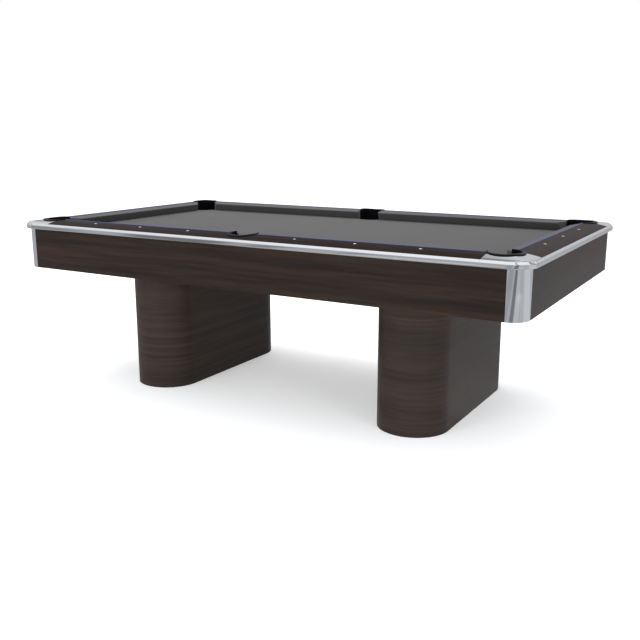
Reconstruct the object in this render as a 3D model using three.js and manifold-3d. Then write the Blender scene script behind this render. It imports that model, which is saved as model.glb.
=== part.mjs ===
// An eight-foot pool table on two rounded pedestals.
// Millimetres, +Z up, origin on the floor under the centre of the table, +X along its length.
import * as THREE from "three";
import { mergeVertices } from "three/addons/utils/BufferGeometryUtils.js";
import Module from "manifold-3d";

const wasm = await Module();
wasm.setup();

// Playing field, from cushion nose to cushion nose, and the heights of the bed.
const PLAY_HALF_LENGTH = 1117.6;
const PLAY_HALF_WIDTH = 558.8;
const BED_TOP = 787;
const CLOTH_THICKNESS = 1.2;
const SLATE_THICKNESS = 25.4;
const NOSE_HEIGHT = 36.3;
const SLATE_HALF_LENGTH = 1212;
const SLATE_HALF_WIDTH = 654;
const SLATE_JOINT = 404;

// Rail cross section, measured outwards from the cushion nose.
const FEATHER = 50.8;
const RAIL_OUTER = 158;
const RAIL_STEP = 127;
const TRIM_BULGE = 10;
const RIM_LOW = 795;
const RIM_HIGH = 822;
const RAIL_CROWN = [[158, 821], [154, 824.4], [125, 829.2], [90, 833], [50.8, 835]];

// Where the timber rails stop and the corner castings begin, and where the end trims stop.
const LONG_SEAM = 1096;
const END_SEAM = 562;
const END_TRIM_STOP = 646;

// Cabinet.
const PANEL_FACE = 148;
const PANEL_THICKNESS = 19;
const CABINET_LOW = 601;
const POST_RADIUS = 72;
const POST_WALL = 8;
const BEAM_THICKNESS = 38;
const BEAM_LOW = 600.4;
const STRINGER_Y = 330;
const CENTRE_BEAM_HALF_LENGTH = 515;

// Pedestals.
const PEDESTAL_X = 690;
const PEDESTAL_RADIUS = 162;
const PEDESTAL_HALF_DEPTH = 488;
const PEDESTAL_HEIGHT = 600;
const PEDESTAL_WALL = 19;
const BASE_PLATE_LOW = 30;
const LEVELER_Y = 300;
const STEM_RADIUS = 8;

// Pockets. A corner pocket's centre lies the same distance past both nose lines.
const CORNER = { past: 25, inner: 62, mouthHalf: 82, slope: 1.28, tip: -38, flangeTip: -24 };
const SIDE = { past: 47.2, inner: 58, mouthHalf: 64, slope: 0.249, tip: -20, flangeTip: 3 };
const LINER_WALL = 4;
const FLANGE_RADIUS = 10;
const FLANGE_SHIFT = 12;
const FLANGE_TOP = 840;
const FLANGE_LOW = 835.4;
const BASKET_LOW = 622;

const GAP = 0.4;
const POCKET_CLEARANCE = 0.8;
const ARC_STEPS = 8;
const degrees = Math.PI / 180;
const slateTop = BED_TOP - CLOTH_THICKNESS - 0.3;
const slateLow = slateTop - SLATE_THICKNESS;
const railLow = BED_TOP + 0.3;
const beamTop = slateLow - GAP;
const panelTop = RIM_LOW - GAP;

// Materials.
function finish(color, roughness, metalness) {
  return new THREE.MeshStandardMaterial({ color, roughness, metalness });
}
const walnut = finish(0x2a2320, 0.35, 0);
const plywood = finish(0xa98a62, 0.8, 0);
const chrome = finish(0xd8dade, 0.12, 1);
const cloth = finish(0x6a6a6b, 0.95, 0);
const slate = finish(0x4a4d50, 0.7, 0);
const blackRubber = finish(0x0b0b0c, 0.3, 0);
const steel = finish(0x8d9094, 0.4, 1);

// Closed three.js geometry to a solid for cutting and joining, and back again.
function solid(geometry) {
  geometry.deleteAttribute("normal");
  geometry.deleteAttribute("uv");
  const merged = mergeVertices(geometry, 1e-4);
  const vertProperties = Float32Array.from(merged.attributes.position.array);
  const triVerts = Uint32Array.from(merged.index.array);
  return new wasm.Manifold(new wasm.Mesh({ numProp: 3, vertProperties, triVerts }));
}

function surface(body) {
  const mesh = body.getMesh();
  const geometry = new THREE.BufferGeometry();
  geometry.setAttribute("position", new THREE.BufferAttribute(mesh.vertProperties, 3));
  geometry.setIndex(new THREE.BufferAttribute(mesh.triVerts, 1));
  geometry.computeVertexNormals();
  return geometry;
}

function outline(points) {
  return new THREE.Shape(points.map(([x, y]) => new THREE.Vector2(x, y)));
}

// A flat outline raised from one height to another.
function prism(shape, low, high) {
  const options = { depth: high - low, bevelEnabled: false, curveSegments: ARC_STEPS };
  return new THREE.ExtrudeGeometry(shape, options).translate(0, 0, low);
}

function block(x0, x1, y0, y1, z0, z1) {
  return prism(outline([[x0, y0], [x1, y0], [x1, y1], [x0, y1]]), z0, z1);
}

function rod(radius, low, high, x = 0, y = 0, sides = 28) {
  const geometry = new THREE.CylinderGeometry(radius, radius, high - low, sides);
  return geometry.rotateX(90 * degrees).translate(x, y, (low + high) / 2);
}

// A profile of [distance outwards, height] points, carried along the rail from one end to the other.
function bar(profile, from, to) {
  const options = { depth: to - from, bevelEnabled: false };
  const geometry = new THREE.ExtrudeGeometry(outline(profile), options);
  geometry.rotateX(90 * degrees).rotateZ(90 * degrees);
  return geometry.translate(from, 0, 0);
}

// Part of a ring between two angles in degrees.
function ringSector(inner, outer, from, to) {
  const shape = new THREE.Shape();
  shape.absarc(0, 0, outer, from * degrees, to * degrees, false);
  shape.absarc(0, 0, inner, to * degrees, from * degrees, true);
  return shape;
}

// An outline with straight sides and two half-round ends, long way along Y.
function stadium(radius, halfDepth) {
  const shape = new THREE.Shape();
  shape.absarc(0, halfDepth - radius, radius, 0, Math.PI, false);
  shape.absarc(0, radius - halfDepth, radius, Math.PI, 2 * Math.PI, false);
  shape.closePath();
  return shape;
}

// A geometry turned into its mirror image left to right and front to back, with its faces outwards.
function mirrored(geometry, signX, signY) {
  const copy = geometry.clone().scale(signX, signY, 1);
  if (signX * signY < 0) {
    const index = copy.index.array;
    for (let i = 0; i < index.length; i += 3) {
      [index[i], index[i + 1]] = [index[i + 1], index[i]];
    }
  }
  return copy;
}

const table = new THREE.Group();

function add(parent, name, geometry, material) {
  const mesh = new THREE.Mesh(geometry, material);
  mesh.name = name;
  parent.add(mesh);
  return mesh;
}

function place(parent, x, y, turn = 0) {
  const group = new THREE.Group();
  group.position.set(x, y, 0);
  group.rotation.z = turn * degrees;
  parent.add(group);
  return group;
}

// Pedestals: a half-round ended box of bent timber, closed by a plate near the floor and one on top,
// with two screw levelers inside its foot.
const pedestalShell = stadium(PEDESTAL_RADIUS, PEDESTAL_HALF_DEPTH);
const innerRadius = PEDESTAL_RADIUS - PEDESTAL_WALL;
pedestalShell.holes.push(stadium(innerRadius, PEDESTAL_HALF_DEPTH - PEDESTAL_WALL));
const plateOutline = stadium(innerRadius - GAP, PEDESTAL_HALF_DEPTH - PEDESTAL_WALL - GAP);

function basePlate() {
  let plate = solid(prism(plateOutline, BASE_PLATE_LOW, BASE_PLATE_LOW + PEDESTAL_WALL));
  for (const side of [-1, 1]) {
    plate = plate.subtract(solid(rod(STEM_RADIUS + 1, 0, 80, 0, side * LEVELER_Y, 16)));
  }
  return surface(plate);
}

// The foot turns freely on the end of its stem, in a shallow socket.
function levelerFoot() {
  const profile = [[0, 0], [36, 0], [38, 2], [38, 7], [16, 12], [16, 20], [11, 20], [11, 13], [0, 13]];
  return new THREE.LatheGeometry(profile.map(([r, z]) => new THREE.Vector2(r, z)), 20).rotateX(90 * degrees);
}

function levelerStem() {
  const shank = solid(rod(STEM_RADIUS, 13.4, 92, 0, 0, 16));
  const head = solid(rod(13, 91, 104, 0, 0, 6));
  return surface(shank.add(head));
}

for (const [side, signX] of [["left", -1], ["right", 1]]) {
  const pedestal = place(table, signX * PEDESTAL_X, 0);
  add(pedestal, `pedestal_${side}_shell`, prism(pedestalShell, 0, PEDESTAL_HEIGHT), walnut);
  add(pedestal, `pedestal_${side}_base_plate`, basePlate(), plywood);
  const topLow = PEDESTAL_HEIGHT - PEDESTAL_WALL;
  add(pedestal, `pedestal_${side}_top_plate`, prism(plateOutline, topLow, PEDESTAL_HEIGHT), plywood);
  for (const [end, signY] of [["front", -1], ["back", 1]]) {
    const leveler = place(pedestal, 0, signY * LEVELER_Y);
    add(leveler, `leveler_foot_${side}_${end}`, levelerFoot(), steel);
    add(leveler, `leveler_stem_${side}_${end}`, levelerStem(), steel);
  }
}

// Cabinet frame: two long stringers crossed by three beams, each halved over the other.
const halving = (BEAM_LOW + beamTop) / 2;
const beams = [
  { name: "left", x: -PEDESTAL_X, half: PLAY_HALF_WIDTH + PANEL_FACE - PANEL_THICKNESS - GAP },
  { name: "centre", x: 0, half: CENTRE_BEAM_HALF_LENGTH },
  { name: "right", x: PEDESTAL_X, half: PLAY_HALF_WIDTH + PANEL_FACE - PANEL_THICKNESS - GAP },
];
const halfBeam = BEAM_THICKNESS / 2;
const notch = halfBeam + GAP;
const stringerEnd = PLAY_HALF_LENGTH + PANEL_FACE - PANEL_THICKNESS - GAP;

for (const [side, signY] of [["front", -1], ["back", 1]]) {
  let stringer = solid(block(-stringerEnd, stringerEnd, -halfBeam, halfBeam, BEAM_LOW, beamTop));
  for (const beam of beams) {
    const cut = block(beam.x - notch, beam.x + notch, -notch, notch, BEAM_LOW - 1, halving + GAP / 2);
    stringer = stringer.subtract(solid(cut));
  }
  add(place(table, 0, signY * STRINGER_Y), `stringer_${side}`, surface(stringer), plywood);
}

for (const beam of beams) {
  let crossBeam = solid(block(-halfBeam, halfBeam, -beam.half, beam.half, BEAM_LOW, beamTop));
  for (const signY of [-1, 1]) {
    const y = signY * STRINGER_Y;
    const cut = block(-notch, notch, y - notch, y + notch, halving - GAP / 2, beamTop + 1);
    crossBeam = crossBeam.subtract(solid(cut));
  }
  add(place(table, beam.x, 0), `cross_beam_${beam.name}`, surface(crossBeam), plywood);
}

// Pocket cutters, shared by the slate, the cloth, the rails and the cushions.
const pockets = [
  { name: "front_left", kind: CORNER, signX: -1, signY: -1, turn: 135 },
  { name: "front_right", kind: CORNER, signX: 1, signY: -1, turn: -135 },
  { name: "back_left", kind: CORNER, signX: -1, signY: 1, turn: 45 },
  { name: "back_right", kind: CORNER, signX: 1, signY: 1, turn: -45 },
  { name: "front_centre", kind: SIDE, signX: 0, signY: -1, turn: 180 },
  { name: "back_centre", kind: SIDE, signX: 0, signY: 1, turn: 0 },
];
for (const pocket of pockets) {
  pocket.x = pocket.signX * (PLAY_HALF_LENGTH + pocket.kind.past);
  pocket.y = pocket.signY * (PLAY_HALF_WIDTH + pocket.kind.past);
}

function cutRadius(kind) {
  return kind.inner + LINER_WALL + POCKET_CLEARANCE;
}

// The bed is cut to a round hole at each pocket, open all the way to its outer edge.
function bedPiece(x0, x1, low, high) {
  let piece = solid(block(x0, x1, -SLATE_HALF_WIDTH, SLATE_HALF_WIDTH, low, high));
  for (const { kind, x, y, signX, signY } of pockets) {
    if (x < x0 || x > x1) {
      continue;
    }
    const radius = cutRadius(kind) + 1.5;
    const farX = signX ? x + signX * 2 * radius : radius;
    const nearX = signX ? x : -radius;
    const farY = y + signY * 2 * radius;
    const way = block(
      Math.min(nearX, farX), Math.max(nearX, farX), Math.min(y, farY), Math.max(y, farY), low - 1, high + 1,
    );
    piece = piece.subtract(solid(rod(radius, low - 1, high + 1, x, y))).subtract(solid(way));
  }
  return surface(piece);
}

const slateSpans = [
  ["left", -SLATE_HALF_LENGTH, -SLATE_JOINT],
  ["centre", -SLATE_JOINT + GAP, SLATE_JOINT - GAP],
  ["right", SLATE_JOINT, SLATE_HALF_LENGTH],
];
for (const [name, x0, x1] of slateSpans) {
  add(table, `slate_${name}`, bedPiece(x0, x1, slateLow, slateTop), slate);
}
const clothPiece = bedPiece(-SLATE_HALF_LENGTH, SLATE_HALF_LENGTH, BED_TOP - CLOTH_THICKNESS, BED_TOP);
add(table, "bed_cloth", clothPiece, cloth);

// Each side of the table has its own group: x runs along the rail, y outwards from the nose line.
const noseTop = BED_TOP + NOSE_HEIGHT;
const railProfile = [
  [FEATHER, railLow], [RAIL_STEP, railLow], [RAIL_STEP, RIM_LOW], [RAIL_OUTER, RIM_LOW],
  ...RAIL_CROWN,
];
const cushionProfile = [
  [1.5, noseTop - 3], [22, railLow + 1], [FEATHER - GAP, railLow + 1],
  [FEATHER - GAP, 834.6], [3, noseTop + 3.2], [0, noseTop],
];

// The bull-nosed trim: a half oval standing out from the rail's outer edge.
function trimProfile() {
  const face = RAIL_OUTER + GAP;
  const middle = (RIM_LOW + RIM_HIGH) / 2;
  const points = [[face, RIM_LOW]];
  for (let i = 0; i <= 8; i += 1) {
    const angle = (-90 + 22.5 * i) * degrees;
    const out = RAIL_OUTER + 2 + (TRIM_BULGE - 2) * Math.cos(angle);
    points.push([out, middle + ((RIM_HIGH - RIM_LOW) / 2) * Math.sin(angle)]);
  }
  points.push([face, RIM_HIGH]);
  return points;
}

// Cuts for the pockets along one side: the corner pockets at both ends, and the side pocket if any.
function pocketCuts(halfPlay, hasSidePocket) {
  const cuts = [-1, 1].map((sign) => rod(cutRadius(CORNER), 700, 900, sign * (halfPlay + CORNER.past), CORNER.past));
  if (hasSidePocket) {
    cuts.push(rod(cutRadius(SIDE), 700, 900, 0, SIDE.past));
  }
  return cuts.map(solid);
}

function cushion(noseFrom, noseTo, slopeFrom, slopeTo, cuts) {
  const back = FEATHER;
  const plan = outline([
    [noseFrom, 0], [noseTo, 0], [noseTo + slopeTo * back, back], [noseFrom - slopeFrom * back, back],
  ]);
  const length = solid(bar(cushionProfile, noseFrom - 80, noseTo + 80));
  return surface(cuts.reduce((body, cut) => body.subtract(cut), length.intersect(solid(prism(plan, 700, 900)))));
}

const sides = [
  { name: "front", y: -PLAY_HALF_WIDTH, turn: 180, long: true },
  { name: "back", y: PLAY_HALF_WIDTH, turn: 0, long: true },
  { name: "left", x: -PLAY_HALF_LENGTH, turn: 90, long: false },
  { name: "right", x: PLAY_HALF_LENGTH, turn: -90, long: false },
];

for (const { name, x = 0, y = 0, turn, long } of sides) {
  const side = place(table, x, y, turn);
  const halfPlay = long ? PLAY_HALF_LENGTH : PLAY_HALF_WIDTH;
  const seam = (long ? LONG_SEAM : END_SEAM) - GAP / 2;
  const trimEnd = (long ? LONG_SEAM : END_TRIM_STOP) - GAP / 2;
  const cuts = pocketCuts(halfPlay, long);

  const rail = cuts.reduce((body, cut) => body.subtract(cut), solid(bar(railProfile, -seam, seam)));
  add(side, `rail_${name}`, surface(rail), walnut);
  add(side, `trim_${name}`, bar(trimProfile(), -trimEnd, trimEnd), chrome);

  const panelEnd = halfPlay + PANEL_FACE - POST_RADIUS - GAP;
  const panelFrom = PANEL_FACE - PANEL_THICKNESS;
  const panel = block(-panelEnd, panelEnd, panelFrom, PANEL_FACE, CABINET_LOW, panelTop);
  add(side, `panel_${name}`, panel, walnut);

  const corner = halfPlay - CORNER.mouthHalf;
  if (long) {
    // Turned half round, the front side's own right is the table's left.
    const firstEnd = turn === 0 ? "left" : "right";
    const secondEnd = turn === 0 ? "right" : "left";
    const first = cushion(-corner, -SIDE.mouthHalf, CORNER.slope, SIDE.slope, cuts);
    const second = cushion(SIDE.mouthHalf, corner, SIDE.slope, CORNER.slope, cuts);
    add(side, `cushion_${name}_${firstEnd}`, first, cloth);
    add(side, `cushion_${name}_${secondEnd}`, second, cloth);
  } else {
    add(side, `cushion_${name}`, cushion(-corner, corner, CORNER.slope, CORNER.slope, cuts), cloth);
  }
}

// Corner castings: a hipped top that carries the crown of both rails round the corner, a bull-nosed rim
// and a quarter-round post down to the bottom of the cabinet. Built outwards from the crossing of the
// nose lines, with u along X and v along Y.
function roundedCorner(reach, start) {
  const centre = PANEL_FACE - POST_RADIUS;
  const shape = new THREE.Shape();
  shape.moveTo(start, start);
  shape.lineTo(reach, start);
  shape.absarc(centre, centre, reach - centre, 0, Math.PI / 2, false);
  shape.lineTo(start, reach);
  shape.closePath();
  return shape;
}

function bullnosedRim() {
  const middle = (RIM_LOW + RIM_HIGH) / 2;
  const options = {
    depth: 1, bevelEnabled: true, bevelSize: TRIM_BULGE, bevelThickness: (RIM_HIGH - RIM_LOW - 1) / 2,
    bevelSegments: 3, curveSegments: ARC_STEPS / 2,
  };
  return new THREE.ExtrudeGeometry(roundedCorner(RAIL_OUTER, -150), options).translate(0, 0, middle - 0.5);
}

function cornerCasting() {
  const start = -150;
  const section = [[start, 780], [170, 780], [170, 819], ...RAIL_CROWN, [start, 835]];
  const alongX = bar(section, start, 200);
  const alongY = bar(section, -200, -start).rotateZ(-90 * degrees);
  const hip = solid(alongX).intersect(solid(alongY));
  const top = solid(prism(roundedCorner(RAIL_OUTER, start), RIM_LOW, 850)).intersect(hip);
  const underside = solid(prism(roundedCorner(RAIL_STEP, start), railLow, RIM_LOW + 1));
  const plate = top.add(underside).add(solid(bullnosedRim()));

  const u0 = LONG_SEAM - PLAY_HALF_LENGTH + GAP / 2;
  const v0 = END_SEAM - PLAY_HALF_WIDTH + GAP / 2;
  const reach = 200;
  const legs = outline([[u0, FEATHER], [FEATHER, FEATHER], [FEATHER, v0], [reach, v0], [reach, reach], [u0, reach]]);
  const trimNotch = END_TRIM_STOP - PLAY_HALF_WIDTH + GAP / 2;
  const centre = PANEL_FACE - POST_RADIUS;
  const post = prism(ringSector(POST_RADIUS - POST_WALL, POST_RADIUS, 0, 90), CABINET_LOW, RIM_LOW + 5);
  return surface(
    plate
      .intersect(solid(prism(legs, 700, 900)))
      .subtract(solid(block(RAIL_OUTER, reach, -reach, trimNotch, 780, 850)))
      .add(solid(post.translate(centre, centre, 0)))
      .subtract(solid(rod(cutRadius(CORNER), 700, 900, CORNER.past, CORNER.past))),
  );
}

const casting = cornerCasting();

// Pocket liner: an open-fronted wall down the pocket with a crescent flange lying on the rail top.
function pocketLiner({ inner, tip, flangeTip }) {
  const outer = inner + LINER_WALL;
  const wall = solid(prism(ringSector(inner, outer, tip, 180 - tip), slateLow + GAP, FLANGE_TOP));
  const reach = outer + FLANGE_RADIUS;
  const wedge = outline([
    [0, 0], ...[flangeTip, 45, 90, 135, 180 - flangeTip].map((angle) => [
      2 * reach * Math.cos(angle * degrees), 2 * reach * Math.sin(angle * degrees),
    ]),
  ]);
  const flange = solid(rod(reach - 3, FLANGE_LOW, FLANGE_TOP, 0, FLANGE_SHIFT))
    .intersect(solid(prism(wedge, 800, 850)))
    .subtract(solid(rod(inner + 1, 800, 850)));
  return surface(wall.add(flange));
}

// Drop basket: a cup with a rolled foot, hung by its flange from the underside of the slate.
function dropBasket(inner) {
  const rim = slateLow - GAP;
  const outer = inner + 3;
  const profile = [
    [0, BASKET_LOW], [outer - 12, BASKET_LOW], [outer, BASKET_LOW + 16], [outer, rim - 5], [outer + 13, rim - 5],
    [outer + 13, rim], [inner, rim], [inner, BASKET_LOW + 18], [inner - 11, BASKET_LOW + 4], [0, BASKET_LOW + 4],
  ];
  const points = profile.map(([r, z]) => new THREE.Vector2(r, z));
  return new THREE.LatheGeometry(points, 20).rotateX(90 * degrees);
}

for (const { name, kind, x, y, signX, signY, turn } of pockets) {
  const pocket = place(table, x, y, turn);
  add(pocket, `pocket_liner_${name}`, pocketLiner(kind), blackRubber);
  add(pocket, `pocket_basket_${name}`, dropBasket(kind.inner), blackRubber);
  if (kind === CORNER) {
    const corner = place(table, signX * PLAY_HALF_LENGTH, signY * PLAY_HALF_WIDTH);
    add(corner, `corner_casting_${name}`, mirrored(casting, signX, signY), chrome);
  }
}

export default table;
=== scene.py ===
# %% [markdown]
# # A pool table on two rounded pedestals
#
# This file dresses a finished CAD model of an eight-foot pool table. The CAD gives every size and
# place; here each visible piece becomes a smooth surface with a procedural finish. The way of
# working is the same all through: read the sizes from the frame, describe a shape as a function of
# two parameters, compute all its points at once with numpy, and hand the arrays to Blender.

# %% Load the frame
import math
import bpy
import numpy as np
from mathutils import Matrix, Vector


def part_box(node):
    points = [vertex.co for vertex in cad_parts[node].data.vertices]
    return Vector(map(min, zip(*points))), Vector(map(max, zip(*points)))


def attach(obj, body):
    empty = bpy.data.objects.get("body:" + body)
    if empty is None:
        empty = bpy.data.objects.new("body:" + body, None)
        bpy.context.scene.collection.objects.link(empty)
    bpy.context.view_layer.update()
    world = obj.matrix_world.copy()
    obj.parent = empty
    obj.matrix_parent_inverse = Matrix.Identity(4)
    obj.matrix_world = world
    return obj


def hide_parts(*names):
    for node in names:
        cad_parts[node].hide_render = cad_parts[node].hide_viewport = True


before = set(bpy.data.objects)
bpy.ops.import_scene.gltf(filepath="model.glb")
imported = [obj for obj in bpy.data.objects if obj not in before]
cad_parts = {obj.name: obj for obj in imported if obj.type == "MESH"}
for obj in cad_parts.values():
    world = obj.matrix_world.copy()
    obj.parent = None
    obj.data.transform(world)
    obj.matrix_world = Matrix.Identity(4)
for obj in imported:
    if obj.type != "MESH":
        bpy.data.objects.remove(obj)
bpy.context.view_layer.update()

# %% [markdown]
# ## The camera
#
# The camera comes first because everything is judged through it. A table this long needs some
# distance and a moderate lens, or the near corner looks blown up. The place, heading and dip are
# those of someone standing off the near right corner, looking down at the rails.

# %% Camera
CAMERA_PLACE = (2.0553, -3.4905, 1.2718)
CAMERA_HEADING = -0.5274
CAMERA_DIP = 0.2288
CAMERA_LENS = 46.09
SENSOR_WIDTH = 36
FARTHEST_SEEN = 300


def make_camera():
    """The heading turns the sight from +Y towards +X, and the dip lowers it below the horizon."""
    camera = bpy.data.objects.new("camera", bpy.data.cameras.new("camera"))
    bpy.context.scene.collection.objects.link(camera)
    camera.data.lens = CAMERA_LENS
    camera.data.sensor_width = SENSOR_WIDTH
    camera.data.clip_end = FARTHEST_SEEN
    camera.location = CAMERA_PLACE
    level = math.cos(CAMERA_DIP)
    right, ahead = math.sin(CAMERA_HEADING) * level, math.cos(CAMERA_HEADING) * level
    sight = Vector((right, ahead, -math.sin(CAMERA_DIP)))
    camera.rotation_mode = "QUATERNION"
    camera.rotation_quaternion = sight.to_track_quat("-Z", "Y")
    bpy.context.scene.camera = camera


make_camera()
print("camera at", CAMERA_PLACE, "with a lens of", CAMERA_LENS, "mm")

# %% [markdown]
# ## Sizes from the frame
#
# No size is typed twice. A node's box tells where its faces are, and the differences between boxes
# give the widths that the shapes need: how far the rail reaches out from the cushion's nose, where
# the timber stops and the corner casting begins, and how deep the cabinet is. Only details too fine
# for the CAD have numbers here.

# %% Sizes
MM = 0.001
GAP = 0.4 * MM
NOSE_HEIGHT = 36.3 * MM


def low(node):
    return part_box(node)[0]


def high(node):
    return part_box(node)[1]


play_x = low("cushion_right").x
play_y = low("cushion_back_left").y
bed_top = high("bed_cloth").z
blue_line = low("rail_right").x - play_x
rail_out = high("rail_right").x - play_x
rail_low = low("rail_right").z
rail_top = high("rail_right").z
rim_low, rim_high = low("trim_front").z, high("trim_front").z
rim_out = high("trim_right").x - play_x
panel_in = low("panel_right").x - play_x
panel_out = high("panel_right").x - play_x
panel_low, panel_high = low("panel_right").z, high("panel_right").z
long_seam = high("rail_back").x
end_seam = high("rail_right").y
end_trim_stop = high("trim_right").y
post_centre = high("panel_back").x + GAP - play_x
nose_z = bed_top + NOSE_HEIGHT
print(f"field {2 * play_x:.4f} by {2 * play_y:.4f} m, bed at {bed_top:.4f} m, rail {rail_out:.4f} m wide")

# %% [markdown]
# ## From arrays to a mesh
#
# Every shape below ends as an array of points and some arrays of faces. `build` joins them into one
# mesh. It also settles which way the faces look: the volume under a closed skin is the sum of the
# little pyramids from the origin to each face, and it comes out negative when the skin is inside
# out, so those faces are reversed. That is safer than asking Blender to guess, and takes only a few
# lines of numpy.

# %% Mesh helpers
SHARP_ANGLE = math.radians(38)


def quads(rows, columns, wrap_rows=False, wrap_columns=False):
    """Four-cornered faces joining each point of a grid to its next neighbours along and across."""
    i = np.arange(rows if wrap_rows else rows - 1)
    j = np.arange(columns if wrap_columns else columns - 1)
    i, j = (a.ravel() for a in np.meshgrid(i, j, indexing="ij"))
    i_next, j_next = (i + 1) % rows, (j + 1) % columns
    corners = [i * columns + j, i_next * columns + j, i_next * columns + j_next, i * columns + j_next]
    return np.stack(corners, 1)


def points_at(x, y, z):
    """Points from three arrays of coordinates that repeat along each other where they are short."""
    return np.stack(np.broadcast_arrays(x, y, z), -1)


def lofted(points, ring=False):
    """A closed skin over a stack of closed outlines: points[i, j] is point j of outline i. The first
    and last outlines are closed by one flat face each, or, in a ring, joined to each other."""
    rows, columns = points.shape[:2]
    faces = [quads(rows, columns, ring, True)]
    if not ring:
        start = np.arange(columns)[None, :]
        faces += [start, (rows - 1) * columns + start[:, ::-1]]
    return points.reshape(-1, 3), faces


def volume(points, faces):
    """Sum over all faces, cut into fans of triangles a, b, c, of a . (b x c) / 6."""
    total = 0.0
    for group in faces:
        a, b, c = points[group[:, :1]], points[group[:, 1:-1]], points[group[:, 2:]]
        total += float((a * np.cross(b, c)).sum()) / 6
    return total


def build(name, bodies, material, rides="table", stands_for=(), closed=True):
    """One named piece from a list of (points, faces) bodies, riding on a CAD body."""
    all_points, all_faces, start = [], [], 0
    for points, faces in bodies:
        if closed and volume(points, faces) < 0:
            faces = [group[:, ::-1] for group in faces]
        all_points.append(points)
        all_faces += [group + start for group in faces]
        start += len(points)
    corners = np.concatenate([group.ravel() for group in all_faces])
    counts = np.concatenate([np.full(len(group), group.shape[1]) for group in all_faces])
    mesh = bpy.data.meshes.new(name)
    mesh.vertices.add(start)
    mesh.vertices.foreach_set("co", np.concatenate(all_points).astype(np.float32).ravel())
    mesh.loops.add(len(corners))
    mesh.loops.foreach_set("vertex_index", corners.astype(np.int32))
    mesh.polygons.add(len(counts))
    mesh.polygons.foreach_set("loop_start", np.concatenate([[0], np.cumsum(counts)[:-1]]).astype(np.int32))
    mesh.update(calc_edges=True)
    mesh.validate()
    mesh.shade_smooth()
    mesh.set_sharp_from_angle(angle=SHARP_ANGLE)
    mesh.materials.append(material)
    piece = bpy.data.objects.new(name, mesh)
    bpy.context.scene.collection.objects.link(piece)
    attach(piece, rides)
    if stands_for:
        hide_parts(*stands_for)
    print(f"{name}: {len(counts)} faces")
    return piece


# %% [markdown]
# ## Outlines and ways to carry them
#
# A few small tools make nearly everything on this table. `rounded` eases the corners of an outline,
# because no real edge is a knife edge and the eased edge is what catches the light.
# `turned_profile` spins an outline round a vertical axis. `on_side` takes a shape drawn for one
# side of the table, x along the rail and y outwards from the nose line, and sets it against the
# front, back, left or right, so that each rail is described only once.

# %% Outline helpers
SIDE_TURNS = {"back": 0, "left": 90, "front": 180, "right": -90}
LARGEST_SHARE = 0.48


def rounded(corners, radius, steps=4):
    """Each corner P between points A (towards the one before) and B (towards the one after), a radius
    away from it, becomes the curve (1-s)^2 A + 2 s (1-s) P + s^2 B. radius is one number or one each."""
    p = np.asarray(corners, float)
    back, ahead = np.roll(p, 1, 0) - p, np.roll(p, -1, 0) - p
    back_length = np.linalg.norm(back, axis=1, keepdims=True)
    ahead_length = np.linalg.norm(ahead, axis=1, keepdims=True)
    reach = np.minimum(np.reshape(radius, (-1, 1)), LARGEST_SHARE * np.minimum(back_length, ahead_length))
    a, b = (p + back / back_length * reach)[:, None], (p + ahead / ahead_length * reach)[:, None]
    s = np.linspace(0, 1, steps + 1)[None, :, None]
    return ((1 - s) ** 2 * a + 2 * s * (1 - s) * p[:, None] + s**2 * b).reshape(-1, 2)


def turn(points, degrees):
    """Points turned about the vertical axis: (x cos - y sin, x sin + y cos, z)."""
    c, s = math.cos(math.radians(degrees)), math.sin(math.radians(degrees))
    x, y, z = np.moveaxis(points, -1, 0)
    return points_at(x * c - y * s, x * s + y * c, z)


def on_side(points, side):
    """A shape drawn with x along the rail and y outwards from the nose line, set on one side of the table."""
    reach = play_y if side in ("front", "back") else play_x
    return turn(points + np.array([0, reach, 0]), SIDE_TURNS[side])


def carried(profile, stations):
    """An outline of (out, height) points repeated at each station along x."""
    return points_at(np.asarray(stations)[:, None], profile[:, 0], profile[:, 1])


def spun(radius, angle, height, x=0.0, y=0.0):
    """Points about a vertical axis: (x + r cos a, y + r sin a, z)."""
    return points_at(x + radius * np.cos(angle), y + radius * np.sin(angle), height)


def turned_profile(profile, sides, centre=(0, 0), flute=None):
    """An outline of (radius, height) points spun round the vertical axis through centre. flute, if
    given, is a function of the angle and the point's number that changes the radius."""
    angle = np.linspace(0, 2 * math.pi, sides, endpoint=False)[:, None]
    radius = np.broadcast_to(profile[:, 0], (sides, len(profile)))
    if flute is not None:
        radius = radius + flute(angle, np.arange(len(profile)))
    return lofted(spun(radius, angle, profile[:, 1], *centre), ring=True)


print("sides are turned by", SIDE_TURNS)

# %% [markdown]
# ## Building node trees in few words
#
# A material is a graph, and writing it node by node buries the idea. These helpers make a node, set
# or link its inputs and give back the socket that matters, so that each material below reads like
# the formula it is.

# %% Node helpers
FLOAT, COLOUR, VECTOR = "NodeSocketFloat", "NodeSocketColor", "NodeSocketVector"
BLACK = (0, 0, 0, 1)


def set_input(tree, node, key, value):
    """An input, by name or number, linked if given a socket and set if given a value."""
    socket = node.inputs[key]
    if isinstance(value, bpy.types.NodeSocket):
        tree.links.new(value, socket)
    else:
        socket.default_value = value


def wire(tree, node, **inputs):
    """Several inputs by name, with _ for each space."""
    for key, value in inputs.items():
        set_input(tree, node, key.replace("_", " "), value)


def feed(tree, node, *values, first=0):
    """Inputs by number, in order from the first."""
    for number, value in enumerate(values, first):
        set_input(tree, node, number, value)
    return node.outputs


def add_node(tree, kind, settings=None, **inputs):
    """A node with its settings and its inputs."""
    made = tree.nodes.new(kind)
    for key, value in (settings or {}).items():
        setattr(made, key, value)
    wire(tree, made, **inputs)
    return made


def maths(tree, operation, *values):
    """One step of arithmetic."""
    return feed(tree, add_node(tree, "ShaderNodeMath", {"operation": operation}), *values)[0]


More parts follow.
